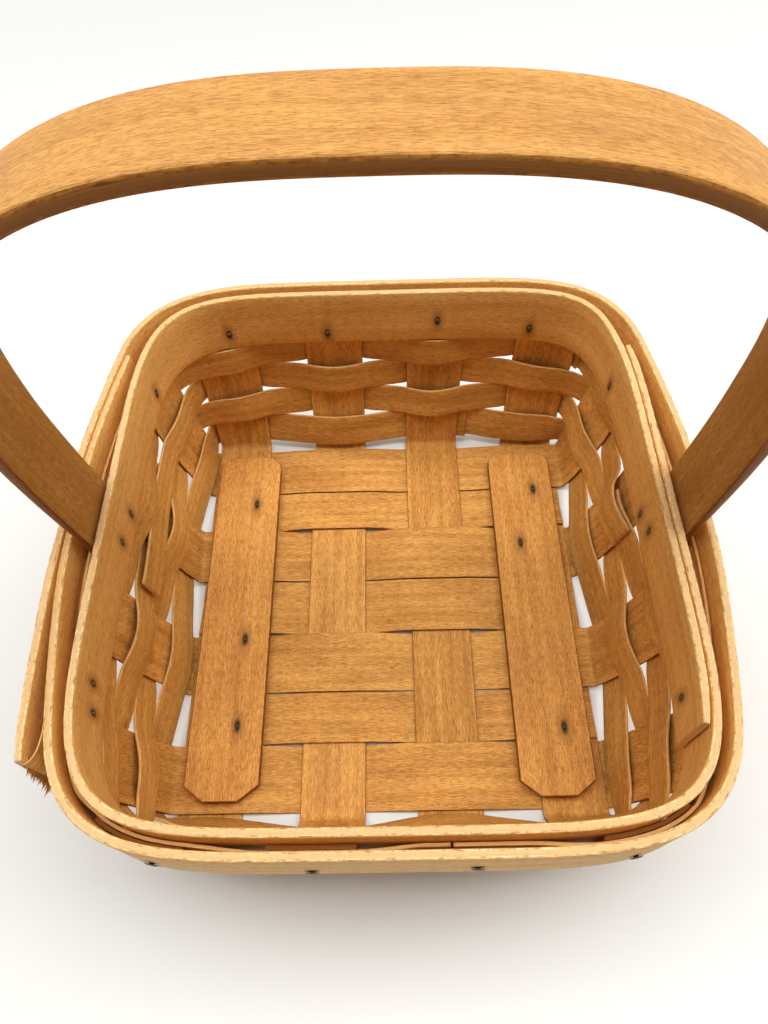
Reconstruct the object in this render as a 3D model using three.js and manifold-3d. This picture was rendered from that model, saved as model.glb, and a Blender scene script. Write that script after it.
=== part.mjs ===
// Small square splint basket with a fixed bent-wood handle and no lid.
// Eight stakes and three fillers are woven into a flat bottom, the stakes turn up into the
// walls, and weavers go round them. Two bent rim bands clamp the stake tops and the handle
// ends, two cleats lie on the bottom, and tacks hold bands, handle and cleats.
// Millimetres, +Z up, floor at z = 0, +X to the right and +Y to the back.
import * as THREE from "three";
import { mergeVertices } from "three/addons/utils/BufferGeometryUtils.js";
import Module from "manifold-3d";

const wasm = await Module();
wasm.setup();

// Driving dimensions: splints and bottom weave
const stakeWidth = 19.05;
const splintThickness = 0.8;
const clearance = 0.3;
const rimClearance = 0.25;
const innerColumn = 17.2;
const outerColumn = 53.3;
const innerRow = 19.3;
const outerRow = 54.7;
const fillerGap = 0.4;
const foldRoom = 1.6;
const foldRadius = 1.2;

// Driving dimensions: walls
const rimHeight = 69;
const flareX = 9.3;
const flareY = 11.6;
const flarePower = 1.8;
const flatSquareness = 3.5;
const cornerSharpness = 1.5;
const cornerRise = 1.5;
const frontLean = 1.3;
const sideLean = 0.7;
const stakeTopDrop = 7;

// Driving dimensions: weavers
const firstWeaverHeight = 11.8;
const firstWeaverLift = 0.8;
const firstWeaverGap = 0.6;
const firstWeaverBow = 0.9;
const weaverGap = 0.4;
const weaverBow = 1.8;
const weaverEndSpring = 1.4;
const rimWeaverHeight = 10;
const rimWeaverLift = 2.5;

// Driving dimensions: rim bands
const bandHeight = 19.05;
const bandThickness = 2;
const innerLapFrom = 53;
const innerLapTo = 59;
const outerLapFrom = 53;
const outerLapTo = 61;
const lapEase = 24;
const looseRun = 58;
const looseLift = 4.3;
const skiveRun = 6;
const skiveShare = 0.75;

// Driving dimensions: handle
const handleSpan = 155.6;
const handleRise = 66.2;
const springHeight = 101.9;
const handleSquareness = 2.8;
const handleThickness = 3.2;
const handleEndThickness = 2.2;
const handleEndWidth = 19;
const handleCrownExtra = 0.8;
const handleEndLift = 2.5;
const handleLean = 0.9;
const handleEdge = 0.6;
const bulgeRun = 14;
const bulgeSpread = 44;

// Driving dimensions: cleats
const cleatWidth = 22.2;
const cleatThickness = 2.6;
const cleatFront = 61.5;
const cleatBack = 58.5;
const cleatCutWidth = 6;
const cleatCutLength = 4.5;
const cleatRound = 5.5;
const leftCleat = 49.8;
const rightCleat = 48.6;

// Driving dimensions: tacks
const tackRadius = 0.6;
const tackHeadRadius = 1.6;
const tackHeadHeight = 0.35;
const tackTip = 0.4;
const footClearance = 0.1;

// Levels and sizes that follow from the ones above
const layerStep = splintThickness + clearance;
const halfStake = stakeWidth / 2;
const lowerLayer = splintThickness / 2;
const upperLayer = lowerLayer + layerStep;
const weaveLevel = (lowerLayer + upperLayer) / 2;
const foldRun = splintThickness / 2 + foldRoom;
const bottomHalfX = outerColumn + halfStake + foldRun;
const bottomHalfY = outerRow + halfStake + foldRun;
const foldRise = 1.6 * foldRadius;
const bandBottom = rimHeight - bandHeight;
const stakeTop = rimHeight - stakeTopDrop;
const uprightFrom = bandBottom + 2;
const edgeOffset = layerStep + 0.05;
const rimOffset = (splintThickness + rimClearance) / 2;
const packHalf = rimOffset + splintThickness / 2;
const bandFace = packHalf + rimClearance;
const bandLayer = bandThickness + clearance;
const rimHalfX = bottomHalfX + flareX;
const handleBottom = bandBottom + handleEndLift;
const handleEndMiddle = rimHalfX - bandFace + rimClearance + handleEndThickness / 2;
const rimWeaverBottom = bandBottom + rimWeaverLift;
const firstWeaverBottom = upperLayer + foldRise / 2 + splintThickness / 2 + firstWeaverLift;
const sideWeaverBottom = firstWeaverBottom + firstWeaverHeight + firstWeaverGap;
const sideWeaverHeight = (bandBottom - sideWeaverBottom - 3 * weaverGap) / 3;
const cleatBottom = upperLayer + layerStep + splintThickness / 2 + clearance;
const cleatTop = cleatBottom + cleatThickness;
const holeRadius = tackRadius + clearance;

const limit = (value) => Math.min(1, Math.max(0, value));
const ease = (value) => limit(value) ** 2 * (3 - 2 * limit(value));
const mix = (from, to, share) => from + (to - from) * share;
const ramp = (value, from, to) => limit((value - from) / (to - from));

// Half sizes and squareness of the wall's middle surface in plan at a height
function wallAt(z) {
  const lift = Math.max(Math.min(z, uprightFrom) - weaveLevel, 0);
  const flare = 1 - (1 - lift / (uprightFrom - weaveLevel)) ** flarePower;
  const halfX = bottomHalfX + flareX * flare;
  const halfY = bottomHalfY + flareY * flare;
  const sharpness = (cornerSharpness * rimHeight) / (lift + cornerRise);
  return { halfX, halfY, exponent: flatSquareness + sharpness };
}

// How far the walls stand to the front at a height, most at the lower edge of the bands
function leanAt(z) {
  return frontLean * Math.min(z / bandBottom, (rimHeight - z) / bandHeight);
}

// How far the walls, and the handle as far as its spring, stand to the right at a height
function sideShift(z) {
  return sideLean * Math.min(z / bandBottom, 1) * (1 - ramp(z, rimHeight, springHeight));
}

// Distance of the handle's middle line from the centre at a height below its spring. Between
// the bands it leans out a little, above them it runs on to the span.
function handleMiddle(z) {
  const drop = 1 - ramp(z, rimHeight, springHeight);
  const clamped = handleEndMiddle + handleLean * ramp(z, handleBottom, rimHeight);
  return mix(handleSpan / 2, clamped, drop ** 1.5);
}

// Half the handle's thickness, less where its end is shaved to go between the bands
function handleHalf(z) {
  return mix(handleEndThickness, handleThickness, ramp(z, rimHeight, springHeight)) / 2;
}

// How far the handle between band and weave pushes the weave outward
function handleBulge(y, z) {
  const outside = handleMiddle(z) + handleHalf(z) + rimClearance;
  const push = Math.max(outside + packHalf - wallAt(z).halfX, 0);
  const fall = 1 - ease((Math.abs(y) - handleEndWidth / 2) / bulgeSpread);
  return push * fall * ease(ramp(z, handleBottom - bulgeRun, handleBottom));
}

// A spot of the wall's middle surface, moved out along the wall's plan normal
function offWall([x, y], z, offset, bulged = true) {
  const wall = wallAt(z);
  const steep = wall.exponent - 1;
  const slopeX = (Math.sign(x) * Math.abs(x / wall.halfX) ** steep) / wall.halfX;
  const slopeY = (Math.sign(y) * Math.abs(y / wall.halfY) ** steep) / wall.halfY;
  const length = Math.hypot(slopeX, slopeY);
  const bulge = bulged ? (handleBulge(y, z) * Math.abs(slopeX)) / length : 0;
  const push = (offset + bulge) / length;
  const across = x + slopeX * push + sideShift(z);
  return new THREE.Vector3(across, y + slopeY * push - leanAt(z), z);
}

// The spot of the wall in a given direction from the centre
function spotTowards([x, y], z) {
  const wall = wallAt(z);
  const reachX = Math.abs(x / wall.halfX) ** wall.exponent;
  const reachY = Math.abs(y / wall.halfY) ** wall.exponent;
  const scale = (reachX + reachY) ** (-1 / wall.exponent);
  return [x * scale, y * scale];
}

// The spot of the wall straight above a stake's line on the bottom
function spotAbove(frontBack, place, side, z) {
  const wall = wallAt(z);
  const own = frontBack ? wall.halfX : wall.halfY;
  const reach = frontBack ? wall.halfY : wall.halfX;
  const droop = (1 - Math.abs(place / own) ** wall.exponent) ** (1 / wall.exponent);
  return frontBack ? [place, side * reach * droop] : [side * reach * droop, place];
}

// Turns a geometry into a solid and back
function toSolid(geometry) {
  const bare = geometry.clone();
  bare.deleteAttribute("normal");
  bare.deleteAttribute("uv");
  const merged = mergeVertices(bare, 1e-4);
  const triVerts = new Uint32Array(merged.index.array);
  const vertProperties = new Float32Array(merged.attributes.position.array);
  return new wasm.Manifold(new wasm.Mesh({ numProp: 3, vertProperties, triVerts }));
}

function toGeometry(solid) {
  const mesh = solid.getMesh();
  const positions = new Float32Array(mesh.numVert * 3);
  for (let i = 0; i < mesh.numVert; i++) {
    const from = i * mesh.numProp;
    positions.set(mesh.vertProperties.subarray(from, from + 3), i * 3);
  }
  const geometry = new THREE.BufferGeometry();
  geometry.setAttribute("position", new THREE.BufferAttribute(positions, 3));
  geometry.setIndex(new THREE.BufferAttribute(mesh.triVerts, 1));
  geometry.computeVertexNormals();
  return geometry;
}

// Direction of a line of points at one of them, the nearer neighbour counting more
function directionAt(points, i) {
  const ahead = new THREE.Vector3();
  const behind = new THREE.Vector3();
  if (i + 1 < points.length) ahead.subVectors(points[i + 1], points[i]);
  if (i > 0) behind.subVectors(points[i], points[i - 1]);
  const far = ahead.length();
  const near = behind.length();
  if (far && near) ahead.multiplyScalar(near / far).addScaledVector(behind, far / near);
  return (far ? ahead : behind).normalize();
}

// A closed strip round a grid of middle points, each row of them running across the strip.
// The skin gives how far the lower and the upper face stand off the middle at a grid point.
function ribbon(grid, skin) {
  const width = grid[0].length;
  const loop = 2 * width;
  const points = [];
  grid.forEach((row, i) => {
    const upper = [];
    const lower = [];
    row.forEach((middle, k) => {
      const column = grid.map((other) => other[k]);
      const normal = directionAt(column, i).cross(directionAt(row, k)).normalize();
      const half = skin(i, k);
      upper.push(middle.clone().addScaledVector(normal, half));
      lower.unshift(middle.clone().addScaledVector(normal, -half));
    });
    points.push(...upper, ...lower);
  });
  const index = [];
  for (let i = 0; i + 1 < grid.length; i++) {
    for (let k = 0; k < loop; k++) {
      const here = i * loop + k;
      const beside = i * loop + ((k + 1) % loop);
      index.push(here, here + loop, beside + loop);
      index.push(here, beside + loop, beside);
    }
  }
  const last = (grid.length - 1) * loop;
  for (let k = 0; k + 1 < width; k++) {
    const twin = loop - 1 - k;
    index.push(k, k + 1, twin - 1);
    index.push(k, twin - 1, twin);
    index.push(last + k, last + twin - 1, last + k + 1);
    index.push(last + k, last + twin, last + twin - 1);
  }
  const geometry = new THREE.BufferGeometry();
  geometry.setFromPoints(points);
  geometry.setIndex(index);
  return toSolid(geometry);
}

const splintSkin = () => splintThickness / 2;

// The bottom weave. A column with sign +1 passes over the two back rows, one with -1 under
// them. It changes level under the half of a row or filler that passes over it there.
const columns = [
  { centre: -outerColumn, sign: 1 },
  { centre: -innerColumn, sign: -1 },
  { centre: innerColumn, sign: 1 },
  { centre: outerColumn, sign: -1 },
];
const rows = [-outerRow, -innerRow, innerRow, outerRow];
const outerFiller = (innerRow + outerRow) / 2;
const fillers = [-1, 0, 1].map((place) => {
  const room = place === 0 ? 2 * innerRow : outerRow - innerRow;
  return { centre: place * outerFiller, width: room - stakeWidth - 2 * fillerGap };
});
const backTurn = innerRow + halfStake;
const middleTurn = halfStake - innerRow;
const frontTurn = halfStake - outerRow;

function columnHeight(sign, y) {
  const overBack = ramp(y, backTurn, innerRow) * ramp(y, middleTurn, 0);
  const overFront = ramp(y, middleTurn, -innerRow) * ramp(y, frontTurn, -outerFiller);
  const dive =
    sign > 0
      ? overBack + ramp(y, frontTurn, -outerRow)
      : overFront + ramp(y, backTurn, outerFiller);
  return mix(upperLayer, lowerLayer, dive);
}

function columnIsOver(sign, y) {
  const backPair = y > backTurn || (y < middleTurn && y > frontTurn);
  return backPair === sign > 0;
}

// Height of a row or filler with this centre line at a spot of it
function rowHeight(centre, x, y) {
  const heights = columns.map((column) =>
    columnIsOver(column.sign, centre) ? lowerLayer : columnHeight(column.sign, y) + layerStep,
  );
  for (let i = 0; i < 3; i++) {
    const from = columns[i].centre + halfStake;
    const to = columns[i + 1].centre - halfStake;
    if (x <= to) return mix(heights[i], heights[i + 1], ease(ramp(x, from, to)));
  }
  return heights[3];
}

// Where stakes and fillers get cross lines on the bottom
const columnStops = [-outerRow, frontTurn, -outerFiller, -innerRow, middleTurn, 0];
columnStops.push(innerRow, backTurn, outerFiller);
const rowStops = columns.flatMap(({ centre }, i) => {
  const stops = [centre - halfStake, centre + halfStake];
  if (i === 3) return stops;
  const to = columns[i + 1].centre - halfStake;
  return [...stops, ...[0.25, 0.5, 0.75].map((share) => mix(stops[1], to, share))];
});

// Cross lines of a stake on the walls, where weavers begin and end
const sideWeavers = [0, 1, 2, 3].map((i) => {
  if (i === 0) return { bottom: firstWeaverBottom, height: firstWeaverHeight };
  const bottom = sideWeaverBottom + (i - 1) * (sideWeaverHeight + weaverGap);
  return { bottom, height: sideWeaverHeight };
});
const wallStops = [firstWeaverBottom + firstWeaverHeight / 2];
sideWeavers.forEach(({ bottom, height }) => wallStops.push(bottom + height + weaverGap / 2));
wallStops.push(rimWeaverBottom, mix(rimWeaverBottom, stakeTop, 0.5), stakeTop);

// Lines along a corner stake lie closer towards the corner
const evenAcross = [-1, -0.5, 0, 0.5, 1];
const towardsEnd = [-1, 0, 0.45, 0.75, 1];
const towardsStart = [-1, -0.75, -0.45, 0, 1];

// One stake from the top of one wall across the bottom to the top of the other. Between the
// bands it gives way to the rim weaver, outward where that passes inside it.
function stakeSolid(frontBack, which, centre, across, floorHeight, bottomStops) {
  const half = (frontBack ? bottomHalfY : bottomHalfX) - foldRadius;
  const spot = (run, place, z) =>
    frontBack ? new THREE.Vector3(place, run, z) : new THREE.Vector3(run, place, z);
  const reachAt = (place, side, z) => spotAbove(frontBack, place, side, z)[frontBack ? 1 : 0];
  const onFloor = (run, place) => spot(run, place, floorHeight(run, place));
  const inFold = (side, fold, place) => {
    const floor = floorHeight(side * half, place);
    const knee = reachAt(place, side, floor);
    const start = mix(side * half, knee, fold);
    const end = mix(knee, reachAt(place, side, floor + foldRise), fold);
    return spot(mix(start, end, fold), place, floor + foldRise * fold ** 2);
  };
  const onWall = (side, z, place) => {
    const outward = (which + (frontBack === side > 0 ? 1 : 0)) % 2 === 0 ? 1 : -1;
    const giveWay = outward * rimOffset * ramp(z, bandBottom, rimWeaverBottom);
    return offWall(spotAbove(frontBack, place, side, z), z, giveWay);
  };
  const places = across.map((share) => centre + share * halfStake);
  const wing = (side) => [
    places.map((place) => onFloor(side * half, place)),
    ...[0.35, 0.7, 1].map((fold) => places.map((place) => inFold(side, fold, place))),
    ...wallStops.map((z) => places.map((place) => onWall(side, z, place))),
  ];
  const middle = bottomStops.map((stop) => places.map((place) => onFloor(stop, place)));
  return ribbon([...wing(-1).reverse(), ...middle, ...wing(1)], splintSkin);
}

function fillerSolid({ centre, width }) {
  const half = outerColumn + halfStake - clearance;
  const stops = [-half, ...rowStops.slice(1, -1), half];
  const lines = [-0.5, 0, 0.5].map((share) => centre + share * width);
  const grid = stops.map((x) =>
    lines.map((y) => new THREE.Vector3(x, y, rowHeight(centre, x, y))),
  );
  return ribbon(grid, splintSkin);
}

// The sixteen places where a stake stands in a wall, counterclockwise from the right wall's
// front. The first weaver passes inside the first of them, outside the next, and so on.
const walls = [
  { frontBack: false, side: 1, direction: 1 },
  { frontBack: true, side: 1, direction: -1 },
  { frontBack: false, side: -1, direction: -1 },
  { frontBack: true, side: -1, direction: 1 },
];
const standing = walls.flatMap((wall) => {
  const centres = wall.frontBack ? columns.map((column) => column.centre) : [...rows];
  if (wall.direction < 0) centres.reverse();
  return centres.map((centre) => ({ ...wall, centre }));
});
const stakeCount = standing.length;
const stakeShare = 0.6;

// A spot on the ring of standing stakes. Whole steps count stakes: a stake takes the first
// part of its step, and the gap after it the rest.
function ringSpot(step, z) {
  const index = Math.floor(step);
  const part = step - index;
  const edge = (which, share) => {
    const stake = standing[which % stakeCount];
    const place = stake.centre + stake.direction * share * halfStake;
    return spotAbove(stake.frontBack, place, stake.side, z);
  };
  const outside = index % 2 === 0 ? -1 : 1;
  if (part <= stakeShare) {
    const across = mix(-1, 1, part / stakeShare);
    return { spot: edge(index, across), outside, across, gap: 0, length: 0 };
  }
  const from = edge(index, 1);
  const to = edge(index + 1, -1);
  const gap = (part - stakeShare) / (1 - stakeShare);
  const towards = [mix(from[0], to[0], gap), mix(from[1], to[1], gap)];
  const length = Math.hypot(to[0] - from[0], to[1] - from[1]);
  return { spot: spotTowards(towards, z), outside, across: 1, gap, length };
}

// Offset of a weaver: clear of a stake's edges, bowed off its middle, crossing in the gap
function weaveOffset({ outside, across, gap, length }, parity, bow, reach) {
  const side = outside * parity;
  if (gap === 0) return side * (reach + bow * Math.cos((across * Math.PI) / 2));
  const slope = (bow * Math.PI * length) / (2 * halfStake);
  const crossing = reach * (1 - 2 * ease(gap));
  return side * (crossing - slope * gap * (1 - gap) * (1 - 2 * gap));
}

// Steps round the ring between two limits
function ringSteps(start, end) {
  const steps = [];
  for (let index = Math.floor(start); index <= Math.ceil(end); index++) {
    const spot = index % 4;
    const across = spot === 0 ? towardsStart : spot === 3 ? towardsEnd : evenAcross;
    const gaps = spot === 3 ? [0.25, 0.5, 0.75] : [0.33, 0.67];
    across.forEach((share) => steps.push(index + (stakeShare * (share + 1)) / 2));
    gaps.forEach((share) => steps.push(index + mix(stakeShare, 1, share)));
  }
  const inside = steps.filter((step) => step > start + 0.02 && step < end - 0.02);
  return [start, ...inside, end];
}

// A weaver from one step to another. From over on it lies outside its own start. Up to under
// it lies inside another strip's end. From held on it stays inside, and its end springs in.
function weaverSolid({ bottom, height, levels, parity, bow, reach, start, end, over, under, held }) {
  const springFrom = held + 1 - stakeShare;
  const grid = ringSteps(start, end).map((step) =>
    levels.map((level) => {
      const z = bottom + level * height;
      const place = ringSpot(step, z);
      if (step > held) {
        const spring = weaverEndSpring * ease(ramp(step, springFrom, end));
        return offWall(place.spot, z, -edgeOffset - spring);
      }
      const outward = ease(ramp(step, over - 0.26, over - 0.02));
      const inward = 1 - ease(ramp(step, under, under + 0.25));
      const lapped = layerStep * (outward - inward);
      return offWall(place.spot, z, weaveOffset(place, parity, bow, reach) + lapped);
    }),
  );
  return ribbon(grid, splintSkin);
}

// Stops along a line so that each stretch between two runs and bends about as much
function evenStops(pointAt, to, stretch, turn) {
  const samples = 1200;
  const points = [];
  for (let i = 0; i <= samples; i++) points.push(pointAt((to * i) / samples));
  const travel = [0];
  for (let i = 1; i <= samples; i++) {
    const bend = directionAt(points, i - 1).angleTo(directionAt(points, i));
    const step = points[i].distanceTo(points[i - 1]) / stretch;
    travel.push(travel[i - 1] + step + THREE.MathUtils.radToDeg(bend) / turn);
  }
  const count = Math.ceil(travel[samples]);
  const stops = [0];
  for (let stop = 1; stop < count; stop++) {
    const found = travel.findIndex((value) => value >= (travel[samples] * stop) / count);
    stops.push((to * found) / samples);
  }
  return [...stops, to];
}

// How far the outer band's loose end stands off at a place along the left wall
const looseAt = (y) => looseLift * ramp(-y, outerLapTo - looseRun, outerLapTo) ** 1.5;

// A rim band goes once round from a place on a side wall, then on over its own start. Face is
// +1 for the band outside the weave and -1 for the one inside; lapTo is where it ends.
function bandSolid({ side, direction, face, lapFrom, lapTo, loose, bulged }) {
  const full = 2 * Math.PI;
  const start = Math.atan2(lapFrom, side * rimHalfX);
  const end = full + Math.atan2(lapFrom, rimHalfX) + Math.atan2(lapTo, rimHalfX);
  const lapAngle = lapEase / rimHalfX;
  const middle = bandFace + bandThickness / 2;
  const pointAt = (run, z) => {
    const angle = start + direction * run;
    const spot = spotTowards([Math.cos(angle), Math.sin(angle)], z);
    const lapped = ease(ramp(run, full - lapAngle, full - 0.02));
    const free = loose && run > (full + end) / 2 ? looseAt(spot[1]) : 0;
    return offWall(spot, z, face * (middle + lapped * bandLayer + free), bulged);
  };
  const stops = evenStops((run) => pointAt(run, rimHeight), end, 14, 9);
  const grid = stops.map((run) => [pointAt(run, bandBottom), pointAt(run, rimHeight)]);
  return ribbon(grid, (i) => {
    const near = Math.min(stops[i], end - stops[i]) * rimHalfX;
    return (bandThickness / 2) * mix(skiveShare, 1, limit(near / skiveRun));
  });
}

function handleSolid() {
  const half = handleSpan / 2;
  const shape = 2 / handleSquareness;
  const pointAt = (run) => {
    if (run < 1) {
      const z = mix(handleBottom, springHeight, run);
      return new THREE.Vector3(sideShift(z) - handleMiddle(z), 0, z);
    }
    if (run > 2) {
      const z = mix(springHeight, handleBottom, run - 2);
      return new THREE.Vector3(sideShift(z) + handleMiddle(z), 0, z);
    }
    const angle = Math.PI * (2 - run);
    const x = half * Math.sign(Math.cos(angle)) * Math.abs(Math.cos(angle)) ** shape;
    return new THREE.Vector3(x, 0, springHeight + handleRise * Math.sin(angle) ** shape);
  };
  const stops = evenStops(pointAt, 3, 20, 8);
  const grid = stops.map((run) => {
    const middle = pointAt(run);
    const climb = ramp(middle.z, rimHeight, springHeight + handleRise);
    const width = (handleEndWidth + handleCrownExtra * climb) / 2;
    return [-width, handleEdge - width, width - handleEdge, width].map(
      (y) => new THREE.Vector3(middle.x, y, middle.z),
    );
  });
  return ribbon(grid, (i, k) => handleHalf(grid[i][k].z) - (k % 3 === 0 ? handleEdge : 0));
}

function cleatSolid(centre) {
  const left = centre - cleatWidth / 2;
  const right = centre + cleatWidth / 2;
  const outline = new THREE.Shape();
  outline.moveTo(left + cleatCutWidth, -cleatFront);
  outline.lineTo(right - cleatCutWidth, -cleatFront);
  outline.lineTo(right, cleatCutLength - cleatFront);
  outline.absarc(right - cleatRound, cleatBack - cleatRound, cleatRound, 0, Math.PI / 2);
  outline.absarc(left + cleatRound, cleatBack - cleatRound, cleatRound, Math.PI / 2, Math.PI);
  outline.lineTo(left, cleatCutLength - cleatFront);
  const options = { depth: cleatThickness, bevelEnabled: false, curveSegments: 4 };
  const geometry = new THREE.ExtrudeGeometry(outline, options);
  geometry.translate(0, 0, cleatBottom);
  return toSolid(geometry);
}

// A round bar from a point along a direction, with a radius at each end
function barSolid(from, direction, length, fromRadius, toRadius, sides = 6) {
  const geometry = new THREE.CylinderGeometry(toRadius, fromRadius, length, sides);
  geometry.translate(0, length / 2, 0);
  const up = new THREE.Vector3(0, 1, 0);
  geometry.applyQuaternion(new THREE.Quaternion().setFromUnitVectors(up, direction));
  geometry.translate(from.x, from.y, from.z);
  return toSolid(geometry);
}

// A tack whose head seats at a point and whose shank runs from there along a direction
function tackSolid(seat, direction, length) {
  const outward = direction.clone().negate();
  const rooted = seat.clone().addScaledVector(outward, tackHeadHeight / 2);
  const shank = barSolid(rooted, direction, length + tackHeadHeight / 2, tackRadius, tackRadius);
  const head = barSolid(seat, outward, tackHeadHeight, tackHeadRadius, tackHeadRadius * 0.6, 8);
  return shank.add(head);
}

// Rim tacks, driven from outside through band, weave or handle end, and band. Each stands off
// the middle of a stake or of the handle. Where the outer band's end stands off far enough,
// the heads lie under it.
const columnCentres = columns.map((column) => column.centre);
const leftStands = [rows[0], rows[0], 0, 0, rows[3]];
const rightStands = [rows[0], 0, 0, rows[3]];
const rimTackRows = [
  { name: "back", side: 1, stands: columnCentres, aside: [2.8, -1.3, -0.2, -6.3], heights: [3, 1, 5, 2] },
  { name: "front", side: -1, stands: columnCentres, aside: [2.3, -0.2, 0.4, -2.7], heights: [3, 2, 4, 3] },
  { name: "left", side: -1, stands: leftStands, aside: [7, 13.5, -2.2, 7.8, -4.9], heights: [4, 6, 4, 2, 3] },
  { name: "right", side: 1, stands: rightStands, aside: [7.9, -2.7, 4.3, -5.9], heights: [4, 5, 2, 3] },
];
const rimTacks = rimTackRows.flatMap(({ name, side, stands, aside, heights }) =>
  stands.map((stand, i) => {
    const frontBack = name === "back" || name === "front";
    const place = stand + aside[i];
    const z = bandBottom + 3 + heights[i];
    const spot = spotAbove(frontBack, place, side, z);
    const base = offWall(spot, z, 0, false);
    const outward = offWall(spot, z, 1, false).sub(base).normalize();
    const bulge = frontBack ? 0 : handleBulge(place, z);
    const room = looseAt(place);
    const overEnd = name === "left" && room < 2 * tackHeadHeight + clearance;
    const outerLap = overEnd ? bandLayer + room : 0;
    const innerLap = name === "right" ? bandLayer : 0;
    const outer = bulge + bandFace + bandThickness + outerLap + clearance;
    const inner = bandFace + bandThickness + innerLap + tackTip;
    const seat = base.clone().addScaledVector(outward, outer);
    const inward = outward.clone().negate();
    const top = seat.clone().addScaledVector(outward, tackHeadHeight + clearance);
    const hole = barSolid(top, inward, outer + inner + bandThickness, holeRadius, holeRadius);
    const tack = tackSolid(seat, inward, outer + inner);
    return { name: `tack_rim_${name}_${i + 1}`, tack, hole };
  }),
);

// Cleat tacks, driven from below, with their heads let into the lowest splint. Each stands off
// the middle line of its cleat, and the first and last stand off its ends.
const cleatTackRows = [
  { name: "left", centre: -leftCleat, aside: [3.3, 3.3, 3.3], backOff: 20.5, middle: -12.5, frontOff: 21.5 },
  { name: "right", centre: rightCleat, aside: [4.2, -2.6, 3.7], backOff: 16.5, middle: 20.5, frontOff: 19.5 },
];
const cleatTacks = cleatTackRows.flatMap(({ name, centre, aside, backOff, middle, frontOff }) =>
  [cleatBack - backOff, middle, frontOff - cleatFront].map((y, i) => {
    const x = centre + aside[i];
    const seat = new THREE.Vector3(x, y, footClearance + tackHeadHeight);
    const up = new THREE.Vector3(0, 0, 1);
    const below = new THREE.Vector3(x, y, -1);
    const hole = barSolid(below, up, cleatTop + 2, holeRadius, holeRadius);
    const sinkRadius = tackHeadRadius + clearance;
    const sink = barSolid(below, up, 1 + splintThickness + clearance / 2, sinkRadius, sinkRadius, 8);
    const tack = tackSolid(seat, up, cleatTop + tackTip - seat.z);
    return { name: `tack_cleat_${name}_${i + 1}`, tack, hole, sink };
  }),
);

const rimHoles = rimTacks.map((entry) => entry.hole);
const bottomHoles = cleatTacks.map((entry) => entry.hole);
const bottomCuts = cleatTacks.flatMap((entry) => [entry.hole, entry.sink]);
const drilled = (solid, holes) => holes.reduce((left, hole) => left.subtract(hole), solid);

// Build and name every piece
const basket = new THREE.Group();
basket.name = "splint_basket";

function addPiece(name, solid, colour, roughness, metalness = 0) {
  const material = new THREE.MeshStandardMaterial({ color: colour, roughness, metalness });
  const mesh = new THREE.Mesh(toGeometry(solid), material);
  mesh.name = name;
  basket.add(mesh);
}

columns.forEach(({ centre, sign }, i) => {
  const across = [towardsStart, [-1, 0, 1], [-1, 0, 1], towardsEnd][i];
  const floor = (y) => columnHeight(sign, y);
  const solid = stakeSolid(true, i, centre, across, floor, columnStops);
  const cut = drilled(drilled(solid, rimHoles), bottomCuts);
  addPiece(`stake_front_back_${i + 1}`, cut, 0xc98f55, 0.6);
});
rows.forEach((centre, i) => {
  const across = [towardsStart, evenAcross, evenAcross, towardsEnd][i];
  const floor = (x, y) => rowHeight(centre, x, y);
  const solid = stakeSolid(false, i, centre, across, floor, rowStops);
  const cut = drilled(drilled(solid, rimHoles), bottomCuts);
  addPiece(`stake_left_right_${i + 1}`, cut, 0xcf9659, 0.6);
});
fillers.forEach((filler, i) => {
  addPiece(`filler_${i + 1}`, drilled(fillerSolid(filler), bottomCuts), 0xcb9156, 0.6);
});

// A round laps over its own start outside a stake, hidden from within. The third weaver is
// two strips: the back one lies inside the front one's end at the right, and its own end
// shows at the left, inside the third stake and just short of the second.
const none = { over: 99, under: -9, held: 99 };
const lapBefore = 0.08;
const round = (stake) => {
  const from = stake - lapBefore;
  const to = stake + stakeCount;
  return { ...none, start: from, end: to + stakeShare + lapBefore, over: to - lapBefore };
};
const [rightLap, leftLap] = [2, 9];
const backStrip = {
  ...none,
  start: rightLap - 0.03,
  end: leftLap + 1 - lapBefore,
  under: rightLap + 0.42,
  held: leftLap - 1 + stakeShare,
};
const frontStrip = { ...none, start: leftLap - 0.18, end: rightLap + stakeCount + 0.4 };
const weaves = [
  { name: "weaver_1", row: 0, ...round(5) },
  { name: "weaver_2", row: 1, ...round(12) },
  { name: "weaver_3_back", row: 2, ...backStrip },
  { name: "weaver_3_front", row: 2, ...frontStrip },
  { name: "weaver_4", row: 3, ...round(4) },
];
weaves.forEach((weave) => {
  const levels = weave.row === 0 ? [0, 0.5, 1] : [0, 1];
  const parity = weave.row % 2 === 0 ? 1 : -1;
  const bow = weave.row === 0 ? firstWeaverBow : weaverBow;
  const shape = { ...sideWeavers[weave.row], levels, parity, bow, reach: edgeOffset };
  addPiece(weave.name, weaverSolid({ ...shape, ...weave }), 0xb87d49, 0.6);
});
const rimWeaver = weaverSolid({
  ...none,
  bottom: rimWeaverBottom,
  height: rimWeaverHeight,
  levels: [0, 1],
  parity: 1,
  bow: 0,
  reach: rimOffset,
  start: stakeCount - 2 + 0.15,
  end: 2 * stakeCount - 2 + 0.13,
});
addPiece("weaver_rim", drilled(rimWeaver, rimHoles), 0xb87d49, 0.6);

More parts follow.
